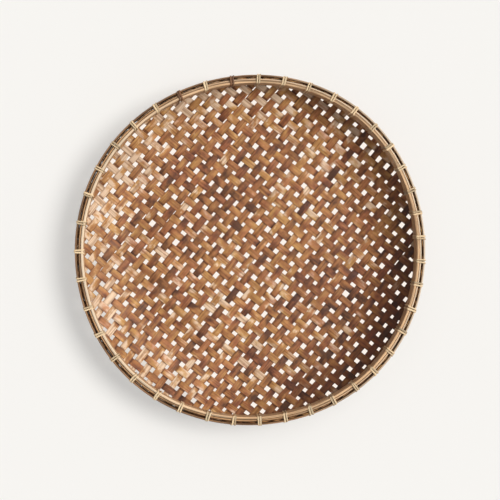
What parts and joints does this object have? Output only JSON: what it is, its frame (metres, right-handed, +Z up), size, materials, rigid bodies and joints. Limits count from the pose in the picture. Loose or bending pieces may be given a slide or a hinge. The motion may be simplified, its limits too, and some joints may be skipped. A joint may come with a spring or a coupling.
{
  "type": "winnowing basket",
  "caption": "Shallow round tray of plain-woven bamboo splints, clamped between bent hoops and lashed with cane, for tossing grain.",
  "frame": {"origin": "centre of the floor's underside, on the surface that the tray stands on", "axes": "+Z up, out of the tray's mouth, along the hoops' common axis"},
  "size_m": [0.502, 0.5022, 0.0612],
  "materials": {
    "woven_splint": "aged bare bamboo splint, satin",
    "inner_hoop": "pale scraped bamboo, satin",
    "rim_packing": "split bamboo, satin",
    "outer_hoop": "aged bamboo skin, satin",
    "cane_lashing": "split cane, slight sheen"
  },
  "bodies": {
    "root": {"woven_mat": "woven_splint", "inner_hoop": "inner_hoop", "rim_packing": "rim_packing", "outer_hoop": "outer_hoop", "lashing_01": "cane_lashing", "lashing_02": "cane_lashing", "lashing_03": "cane_lashing", "lashing_04": "cane_lashing", "lashing_05": "cane_lashing", "lashing_06": "cane_lashing", "lashing_07": "cane_lashing", "lashing_08": "cane_lashing", "lashing_09": "cane_lashing", "lashing_10": "cane_lashing", "lashing_11": "cane_lashing", "lashing_12": "cane_lashing", "lashing_13": "cane_lashing", "lashing_14": "cane_lashing", "lashing_15": "cane_lashing", "lashing_16": "cane_lashing", "lashing_17": "cane_lashing", "lashing_18": "cane_lashing", "lashing_19": "cane_lashing", "lashing_20": "cane_lashing", "lashing_21": "cane_lashing", "lashing_22": "cane_lashing", "lashing_23": "cane_lashing", "lashing_24": "cane_lashing", "lashing_25": "cane_lashing", "lashing_26": "cane_lashing", "lashing_27": "cane_lashing", "lashing_28": "cane_lashing", "lashing_29": "cane_lashing", "lashing_30": "cane_lashing", "lashing_31": "cane_lashing", "lashing_32": "cane_lashing", "lashing_33": "cane_lashing", "lashing_34": "cane_lashing", "lashing_35": "cane_lashing", "lashing_36": "cane_lashing", "lashing_37": "cane_lashing", "lashing_38": "cane_lashing", "lashing_39": "cane_lashing", "lashing_40": "cane_lashing", "lashing_41": "cane_lashing"}
  },
  "joints": []
}
